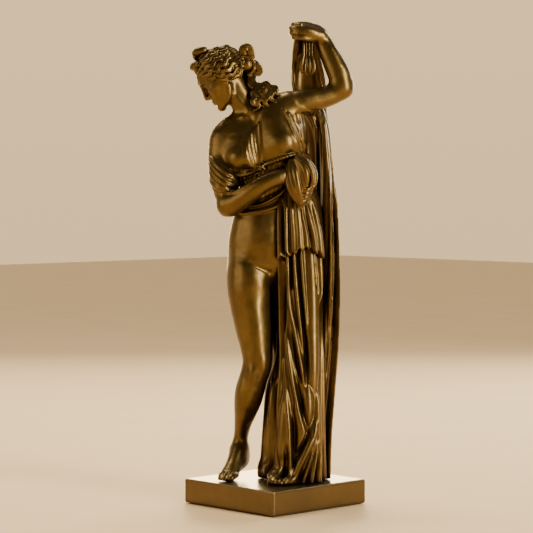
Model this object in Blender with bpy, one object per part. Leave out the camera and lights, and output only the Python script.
"""A bronze statuette of a draped classical figure on a square plinth, as its separate castings and fixings.

Run it with blender --background --python part.py, or from Blender's text editor.

Row frame: +Z is up, and the origin is the middle of the underside. The plinth's sides lie along X and Y.
Figure frame: the figure is laid out facing -y, with its own left at +x, and the whole of it is then turned
by FIGURE_TURN about Z, because it faces a corner of the plinth. Lengths are millimetres until MM scales them.
"""

import math

import bmesh
import bpy
from mathutils import Matrix, Vector

# ---- driving dimensions, in millimetres and degrees ----
MM = 0.001
FIGURE_TURN = -44.0
GAP = 0.3  # between castings that meet face to face
PLINTH_SIDE = 80.0
PLINTH_TOP = 15.5
PLINTH_FOOT = 0.4  # height of the plinth's rim over the surface that it stands on
PLINTH_WALL = 5.0
PLINTH_PLATE = 3.5
PLINTH_EDGE = 1.2
FELT_SIDE = 76.0
FELT_THICK = 1.0
VOXEL = 1.3  # grid of the remesh that fuses the lofts of one casting
RING_SIDES = 18
STEPS = 4  # rings between two stations of a loft

# ---- the lofts. Each station is x, y, z of its centre, then its half width and its half depth ----
TORSO = [
    (-8.5, 0.5, 149, 13, 11), (-6.2, 0.5, 154, 21, 15.2), (-6.0, 0, 161, 23, 16), (-5.9, -0.5, 171, 21.4, 14.6),
    (-4.2, -1, 180, 19.8, 13), (-2.6, -1, 189, 18.4, 12), (-2, -1, 200, 19.2, 12.6), (-2.8, -1, 211, 20.8, 13.6),
    (-3.4, -0.5, 223, 22.6, 13.8), (-4, 0, 233, 22, 12), (-6, 0, 240, 16, 9.6), (-9, 0, 245, 10, 8),
]
BARE_LEG = [
    (-14, 1, 160, 13, 15), (-16.1, 0, 146, 14.2, 16), (-15.5, -1.5, 136, 14.2, 15.4), (-15.1, -2.6, 127, 13.3, 14.4),
    (-14, -3.5, 118, 12.5, 13.4), (-12.7, -4.6, 108.5, 11.5, 12.4), (-11.5, -5.6, 99, 10.2, 11.2),
    (-10.8, -6.5, 91.5, 9.4, 10.2), (-11.4, -6.5, 85.5, 9.1, 9.7), (-13.6, -5, 78.5, 8.8, 9.4),
    (-15.5, -3, 71.3, 9.1, 9.8), (-16.8, -1, 65, 8.6, 9.6), (-18.3, 1.5, 57.7, 7.1, 8.4), (-19.9, 4.5, 50.2, 5.5, 6.6),
    (-21, 7, 43.4, 4.6, 5.2), (-21.8, 8.5, 37, 4.4, 5),
]
BARE_FOOT = [
    (-18.8, 14.5, 27.5, 3.4, 4.2), (-20.8, 10.5, 29, 4.3, 6.4), (-23.8, 5, 27.8, 4.9, 6.4),
    (-27, -1, 23.4, 5.6, 5), (-29.8, -6, 20, 6.2, 3.9), (-31.6, -10, 18.3, 6, 2.7), (-32.8, -13, 17.6, 5.2, 2.1),
]
RIGHT_BREAST = [(-21.5, -8, 215.5, 8.4, 8), (-22, -13, 215, 6.8, 6.6)]
LEFT_BREAST = [(4.5, -8, 225.5, 9.8, 9.2), (4.5, -13.5, 224.5, 7.8, 7.4)]
RIGHT_BUTTOCK = [(-14.5, 2.5, 164, 9, 9), (-16, 5, 156, 12, 12), (-16, 6, 148, 12.4, 12.6), (-15.6, 4, 141, 9, 10)]
LEFT_BUTTOCK = [(2, 2.5, 166, 9, 9), (4.4, 5, 158, 12, 12), (5, 6, 150, 12.4, 12.6), (5, 4, 143, 9, 10)]
RIGHT_SHOULDER = [(-14, 0.5, 240, 7, 7), (-24, 0.5, 235.5, 7.6, 7.6), (-31.5, 0, 228, 8.4, 8.2), (-33, 0, 221, 8.2, 8)]
LEFT_SHOULDER = [(-6, 0.5, 242, 8, 8), (3, 0.5, 246, 8.6, 8.4), (12, 1, 249, 7.6, 7.8), (20, 1.5, 250.6, 7, 7.2)]
NECK = [(-10, 1, 236, 10, 9), (-14.5, 0.5, 241, 8.6, 8), (-18.5, 0, 247.5, 7.9, 7.4), (-23.5, 0, 256, 8, 7.4)]
CRANIUM = [(-41.5, 0, 275, 10, 9.5), (-35, 0, 269.5, 14.5, 12.6), (-27, 0, 266, 14, 12.2), (-22, 0, 262, 9, 9)]
JAW = [(-40, 0, 263.5, 9.5, 9.4), (-37.5, 0, 255, 8.8, 8.6), (-34.5, 0, 249.5, 5.4, 5.8)]
TOPKNOT = [(-45, -4, 278.5, 3.6, 3.4), (-44, 4, 279, 3.6, 3.4)]
CHIGNON = [(-18.5, 0, 282, 3.2, 4), (-15, 0, 276, 4, 5), (-12.5, 0, 270, 4.2, 4.6), (-12.5, 0, 262, 3, 3.4)]
SHOULDER_LOCK = [(-12.5, -1, 262, 3, 3.4), (-10, -3, 255.5, 3.4, 3.6), (-5.5, -5, 253, 4.6, 4.4), (-3, -7, 248.5, 4, 3.6)]
UPPER_ARM_RIGHT = [
    (-32.4, 0, 226, 8.4, 8.1), (-32.9, 0, 221, 8.2, 8), (-33.6, -0.5, 214, 7.9, 7.8), (-33, -2, 204, 7.4, 7.4), (-31, -4.5, 195, 7.1, 7.2),
    (-28.4, -8, 187, 7, 6.8),
]
FOREARM_RIGHT = [
    (-28.8, -9, 186, 7, 6.6), (-22, -14, 189, 6.7, 6.4), (-14, -18.5, 194.6, 6, 5.8), (-6, -21.5, 200, 5.3, 5),
    (3, -23, 203.2, 4.8, 4.2), (9, -23, 204, 5, 4),
]
RIGHT_HAND = [(9, -23, 204, 5, 3.8), (14, -22.5, 205, 5.4, 3.6), (20, -21.5, 203.5, 4.6, 3.4)]
SLEEVE = [(-31.5, -3, 207, 7.6, 8.2), (-27, -8, 203, 6, 6), (-20, -12, 199, 5.4, 5)]
UPPER_ARM_LEFT = [(12, 1, 249, 7.6, 7.8), (20, 1.5, 250.6, 7, 7.2), (28, 2, 252, 6.7, 6.8), (36.5, 2, 254.8, 6.3, 6.4), (42, 2, 258, 6.4, 6.3)]
FOREARM_LEFT = [
    (42.6, 2, 258, 6.3, 6.2), (42, 2, 266, 6.9, 6.4), (38, 3, 275, 6.1, 5.7), (33.4, 4, 284, 5.2, 5), (29, 5, 290.6, 4.6, 4.4),
    (25, 6, 294, 4.5, 4), (20, 7, 295, 5.2, 4), (14.4, 8, 295, 5.2, 4.6), (12, 7.5, 293, 3.8, 4.4),
]
SKIRT = [
    (13, -2, 184, 12.4, 13), (14, -3.5, 170, 14.6, 14.6), (14.6, -4.5, 158, 15.4, 15.4), (15.6, -5, 135, 15.2, 15.8),
    (15.9, -6, 110, 15.4, 16.2), (15.5, -7, 85, 16.6, 17), (14, -7.5, 65, 18.6, 18), (13.4, -7.5, 40, 19.2, 18.8),
    (13.6, -7.5, 24, 19.2, 18.6), (13.8, -7.5, 15.8, 18.4, 17.8),
]
LEFT_FOOT = [(-5, 6, 20.5, 4, 5), (-2, -4, 21, 4.8, 5.2), (0.5, -14, 19.8, 5.6, 4.4), (2, -23, 18.2, 5.6, 2.9), (3, -28, 17.6, 4.6, 2.2)]
OVERFOLD = [(13.6, -5, 186, 14.6, 14.8), (14.4, -5.5, 172, 16.2, 16.4), (14.6, -6, 160, 17.2, 17.4), (14.8, -6, 154, 17.4, 17.6)]
BUNCH = [(15, -17, 215, 6.4, 5), (18.4, -20, 207, 9.4, 7), (17.8, -21.5, 197, 9.6, 7.4), (16, -21.5, 190, 7.6, 6), (15.6, -21, 186, 4, 4)]
CLOAK = [
    (19, 10, 289, 8.4, 3.2), (20, 12.5, 276, 10.4, 4.4), (21, 14, 262, 12.2, 5.6), (23.5, 14, 248, 11.4, 8),
    (27.6, 13, 234, 7.6, 12), (29.4, 12, 214, 5.2, 14.4), (30.2, 11, 190, 4.6, 15.6), (30.6, 10.4, 160, 4.6, 16.2),
    (30.8, 10, 130, 4.8, 16.4), (30.2, 9.4, 100, 5, 16.2), (27.8, 9, 72, 5.2, 15.6), (25, 8.4, 44, 5.6, 15),
    (24, 8, 15.8, 6.4, 14.6),
]
CLOAK_LIE = (-0.5, 1, 0)  # the level direction that the hanging part of the cloak spreads along
CLOTH_END = [(20, 3.6, 290, 4.2, 2.8), (20.4, 2.6, 281, 5, 3.2), (20.4, 2.4, 272, 5.2, 3.4), (20.4, 2.6, 269, 3.6, 2.6)]

# ---- fixings: x, y and z of a dowel's middle, its direction, its radius and its length ----
DOWELS = {
    "neck_dowel": ((-16.4, 0.3, 244.2), (-0.5, 0, 1), 1.6, 11),
    "raised_arm_dowel": ((16, 1.2, 249.8), (1, 0.05, 0.2), 1.6, 12),
    "lowered_arm_dowel": ((-33.2, 0, 220), (0, 0, 1), 1.6, 12),
}
STUDS = {  # x, y, top of the thread, thread radius
    "front_stud": (13.0, -15.0, 27.0, 2.0),
    "rear_stud": (15.0, 1.0, 27.0, 2.0),
    "foot_stud": (-29.2, -5.6, 20.5, 1.25),
}
STUD_FOOT = 6.5
WASHER_THICK = 0.6


# ---- materials ----
def metal(name, colour, roughness, metallic=1.0):
    made = bpy.data.materials.new(name)
    made.use_nodes = True
    shader = made.node_tree.nodes["Principled BSDF"]
    shader.inputs["Base Color"].default_value = (*colour, 1)
    shader.inputs["Roughness"].default_value = roughness
    shader.inputs["Metallic"].default_value = metallic
    return made


# ---- shapes ----
def clear_scene():
    for obj in list(bpy.data.objects):
        bpy.data.objects.remove(obj, do_unlink=True)


def smooth_stations(stations):
    """Catmull-Rom through the stations, with STEPS rings for each span."""
    ends = [stations[0], *stations, stations[-1]]
    rings = []
    for p0, p1, p2, p3 in zip(ends, ends[1:], ends[2:], ends[3:]):
        for step in range(STEPS):
            t = step / STEPS
            rings.append([
                0.5 * (2 * b + (c - a) * t + (2 * a - 5 * b + 4 * c - d) * t**2 + (3 * b - a - 3 * c + d) * t**3)
                for a, b, c, d in zip(p0, p1, p2, p3)
            ])
    return rings + [list(stations[-1])]


def add_loft(bm, stations, across=(0, 1, 0)):
    """Adds a closed round-ended loft. A ring's half depth lies along across, its half width square to that."""
    rings = smooth_stations(stations)
    centres = [Vector(r[:3]) for r in rings]
    loops = []
    for i, (centre, ring) in enumerate(zip(centres, rings)):
        along = (centres[min(i + 1, len(rings) - 1)] - centres[max(i - 1, 0)]).normalized()
        depth = (Vector(across) - along * along.dot(Vector(across))).normalized()
        width = depth.cross(along)
        loops.append([
            bm.verts.new(centre + width * ring[3] * math.cos(a) + depth * ring[4] * math.sin(a))
            for a in (2 * math.pi * k / RING_SIDES for k in range(RING_SIDES))
        ])
    for lower, upper in zip(loops, loops[1:]):
        for k in range(RING_SIDES):
            n = (k + 1) % RING_SIDES
            bm.faces.new((lower[k], lower[n], upper[n], upper[k]))
    for loop, other, centre in ((loops[0], centres[1], centres[0]), (loops[-1], centres[-2], centres[-1])):
        reach = 0.6 * min((v.co - centre).length for v in loop)
        pole = bm.verts.new(centre + (centre - other).normalized() * reach)
        for k in range(RING_SIDES):
            bm.faces.new((loop[k], loop[(k + 1) % RING_SIDES], pole))


def object_of(name, bm, material, parent):
    bmesh.ops.recalc_face_normals(bm, faces=bm.faces)
    bmesh.ops.scale(bm, vec=(MM,) * 3, verts=bm.verts)
    mesh = bpy.data.meshes.new(name)
    bm.to_mesh(mesh)
    bm.free()
    made = bpy.data.objects.new(name, mesh)
    bpy.context.scene.collection.objects.link(made)
    made.parent = parent
    if material:
        mesh.materials.append(material)
    return made


def casting(name, lofts, material, parent, ratio):
    """One casting: its lofts fused by a voxel remesh, smoothed, then thinned to ratio of its faces."""
    bm = bmesh.new()
    for stations, *across in lofts:
        add_loft(bm, stations, *across)
    made = object_of(name, bm, material, parent)
    fuse = made.modifiers.new("fuse", "REMESH")
    fuse.mode = "VOXEL"
    fuse.voxel_size = VOXEL * MM
    smooth = made.modifiers.new("smooth", "SMOOTH")
    smooth.factor = 0.5
    smooth.iterations = 4
    thin = made.modifiers.new("thin", "DECIMATE")
    thin.ratio = ratio
    return made


def baked(made):
    """Replaces an object's mesh with its evaluated one, so that what is cut from it later starts from there."""
    graph = bpy.context.evaluated_depsgraph_get()
    mesh = bpy.data.meshes.new_from_object(made.evaluated_get(graph))
    made.modifiers.clear()
    made.data = mesh
    return made


def cut(made, *cutters, operation="DIFFERENCE"):
    for cutter in cutters:
        modifier = made.modifiers.new(f"{operation.lower()} {cutter.name}", "BOOLEAN")
        modifier.operation = operation
        modifier.object = cutter
    return made


def as_cutter(made):
    made.hide_render = True
    made.display_type = "WIRE"
    return made


def grown(made, by=GAP):
    """A cutter of the shape of a finished casting, by millimetres larger all round."""
    copy = made.copy()
    copy.data = made.data.copy()
    copy.name = f"{made.name} room"
    bpy.context.scene.collection.objects.link(copy)
    swell = copy.modifiers.new("swell", "DISPLACE")
    swell.mid_level = 0
    swell.strength = by * MM
    return as_cutter(copy)


def box(name, low, high, material=None, parent=None):
    bm = bmesh.new()
    size = Vector(high) - Vector(low)
    place = Matrix.Translation((Vector(low) + Vector(high)) / 2) @ Matrix.Diagonal((*size, 1))
    bmesh.ops.create_cube(bm, size=1, matrix=place)
    return object_of(name, bm, material, parent)


def rod(name, middle, direction, radius, length, material=None, parent=None, sides=20):
    bm = bmesh.new()
    turn = Vector(direction).to_track_quat("Z", "Y").to_matrix().to_4x4()
    bmesh.ops.create_cone(
        bm, cap_ends=True, segments=sides, radius1=radius, radius2=radius, depth=length,
        matrix=Matrix.Translation(middle) @ turn,
    )
    return object_of(name, bm, material, parent)


def half_space(name, point, normal, parent, size=160):
    """A cutter that takes away everything on the side of a plane that its normal points to."""
    bm = bmesh.new()
    turn = Vector(normal).to_track_quat("Z", "Y").to_matrix().to_4x4()
    place = Matrix.Translation(point) @ turn @ Matrix.Translation((0, 0, size / 2))
    bmesh.ops.create_cube(bm, size=size, matrix=place)
    return as_cutter(object_of(name, bm, None, parent))


def parted(first, second, point, normal, reach, parent):
    """Parts two castings at one plane, over a square of side reach, leaving GAP between their faces.

    second is on the normal's side.
    """
    normal = Vector(normal).normalized()
    point = Vector(point)
    cut(first, half_space(f"{first.name} end at {second.name}", point, normal, parent, reach))
    cut(second, half_space(f"{second.name} end at {first.name}", point + normal * GAP, -normal, parent, reach))


def bevel(made, width, segments):
    edge = made.modifiers.new("edge", "BEVEL")
    edge.width = width * MM
    edge.segments = segments
    edge.limit_method = "ANGLE"
    edge.harden_normals = False


# ---- the pieces ----
def make_plinth(bronze):
    half, inner, rebate = PLINTH_SIDE / 2, PLINTH_SIDE / 2 - PLINTH_WALL, FELT_SIDE / 2 + GAP
    plinth = box("plinth", (-half, -half, PLINTH_FOOT), (half, half, PLINTH_TOP), bronze)
    bevel(plinth, PLINTH_EDGE, 3)
    cavity = box("plinth cavity", (-inner, -inner, -1), (inner, inner, PLINTH_TOP - PLINTH_PLATE))
    seat = box("felt seat", (-rebate, -rebate, -1), (rebate, rebate, FELT_THICK + GAP))
    return cut(plinth, as_cutter(cavity), as_cutter(seat))


def make_felt(felt):
    half = FELT_SIDE / 2
    return box("felt_pad", (-half, -half, 0), (half, half, FELT_THICK), felt)


def make_castings(bronze, figure):
    """The figure's castings, each cleared of those before it."""
    trunk = [
        (TORSO,), (BARE_LEG,), (BARE_FOOT, (0, 0, 1)), (RIGHT_BREAST, (0, 0, 1)), (LEFT_BREAST, (0, 0, 1)),
        (RIGHT_BUTTOCK,), (LEFT_BUTTOCK,), (RIGHT_SHOULDER,), (LEFT_SHOULDER,), (NECK,),
    ]
    limbs_right = [(UPPER_ARM_RIGHT,), (FOREARM_RIGHT,), (RIGHT_HAND,), (SLEEVE,)]
    limbs_left = [(UPPER_ARM_LEFT,), (FOREARM_LEFT,)]
    head_parts = [(NECK,), (CRANIUM,), (JAW,), (TOPKNOT, (0, 0, 1)), (CHIGNON,), (SHOULDER_LOCK,)]

    body = casting("body", trunk, bronze, figure, 0.075)
    head = casting("head", head_parts, bronze, figure, 0.15)
    raised_arm = casting("raised_arm", limbs_left, bronze, figure, 0.13)
    lowered_arm = casting("lowered_arm", limbs_right, bronze, figure, 0.14)
    skirt = casting("skirt", [(SKIRT,), (LEFT_FOOT, (0, 0, 1))], bronze, figure, 0.06)
    overfold = casting("overfold", [(OVERFOLD,)], bronze, figure, 0.09)
    bunch = casting("waist_bunch", [(BUNCH,)], bronze, figure, 0.16)
    cloak = casting("cloak", [(CLOAK, CLOAK_LIE)], bronze, figure, 0.06)
    cloth_end = casting("cloth_end", [(CLOTH_END,)], bronze, figure, 0.25)
    made = [body, head, raised_arm, lowered_arm, skirt, overfold, bunch, cloak, cloth_end]
    for piece in made:
        baked(piece)

    floor = half_space("plinth top", (0, 0, PLINTH_TOP + GAP), (0, 0, -1), figure)
    for piece in (body, skirt, cloak):
        cut(piece, floor)
    parted(body, head, (-16.4, 0.3, 244.2), (-0.5, 0, 1), 24, figure)
    parted(body, raised_arm, (16, 1.2, 249.8), (1, 0.05, 0.2), 26, figure)
    parted(lowered_arm, body, (-33.2, 0, 220), (0, 0, 1), 20, figure)
    for piece in (body, head, raised_arm, lowered_arm, skirt, cloak):
        baked(piece)
    clear = {
        head: [body, raised_arm],
        lowered_arm: [body],
        skirt: [body, lowered_arm],
        cloak: [body, raised_arm, skirt],
        overfold: [body, lowered_arm, skirt, cloak],
        bunch: [body, lowered_arm, skirt, overfold],
        cloth_end: [raised_arm, cloak],
    }
    for piece, before in clear.items():
        cut(piece, *(grown(other) for other in before))
        baked(piece)
    return {piece.name: piece for piece in made}


def make_dowels(steel, figure, castings):
    joined = {
        "neck_dowel": ("body", "head"),
        "raised_arm_dowel": ("body", "raised_arm"),
        "lowered_arm_dowel": ("lowered_arm", "body"),
    }
    for name, (middle, direction, radius, length) in DOWELS.items():
        rod(name, middle, direction, radius, length, steel, figure)
        room = as_cutter(rod(f"{name} bore", middle, direction, radius + GAP, length + 1, None, figure))
        for casting_name in joined[name]:
            cut(castings[casting_name], room)


def make_studs(steel, brass, figure, castings, plinth):
    """Each stud stands in a casting, goes through the plinth's top plate and takes a washer and a nut below it."""
    holders = {"front_stud": "skirt", "rear_stud": "skirt", "foot_stud": "body"}
    plate = PLINTH_TOP - PLINTH_PLATE
    for name, (x, y, top, radius) in STUDS.items():
        place = name.removesuffix("_stud")
        rod(name, (x, y, (top + STUD_FOOT) / 2), (0, 0, 1), radius, top - STUD_FOOT, steel, figure)
        room = as_cutter(rod(f"{name} bore", (x, y, (top + 1) / 2), (0, 0, 1), radius + GAP, top + 1, None, figure))
        cut(castings[holders[name]], room)
        cut(plinth, room)
        washer_top = plate - GAP
        nut_top = washer_top - WASHER_THICK - GAP
        nut_high = 1.6 * radius
        washer_middle = (x, y, washer_top - WASHER_THICK / 2)
        washer = rod(f"{place}_washer", washer_middle, (0, 0, 1), 2.2 * radius, WASHER_THICK, steel, figure)
        nut_middle = (x, y, nut_top - nut_high / 2)
        nut = rod(f"{place}_nut", nut_middle, (0, 0, 1), 2 * radius, nut_high, brass, figure, 6)
        cut(washer, room)
        cut(nut, room)


def shade(made):
    made.data.shade_smooth()
    made.data.set_sharp_from_angle(angle=math.radians(40))


def main():
    clear_scene()
    bronze = metal("bronze", (0.16, 0.09, 0.035), 0.34)
    steel = metal("steel", (0.5, 0.5, 0.5), 0.4)
    brass = metal("brass", (0.6, 0.42, 0.16), 0.35)
    felt = metal("felt", (0.03, 0.09, 0.05), 0.95, metallic=0)
    figure = bpy.data.objects.new("figure", None)
    bpy.context.scene.collection.objects.link(figure)
    figure.rotation_euler.z = math.radians(FIGURE_TURN)

    plinth = make_plinth(bronze)
    make_felt(felt)
    castings = make_castings(bronze, figure)
    make_dowels(steel, figure, castings)
    make_studs(steel, brass, figure, castings, plinth)
    for made in bpy.context.scene.objects:
        if made.type == "MESH" and not made.hide_render:
            shade(made)


main()
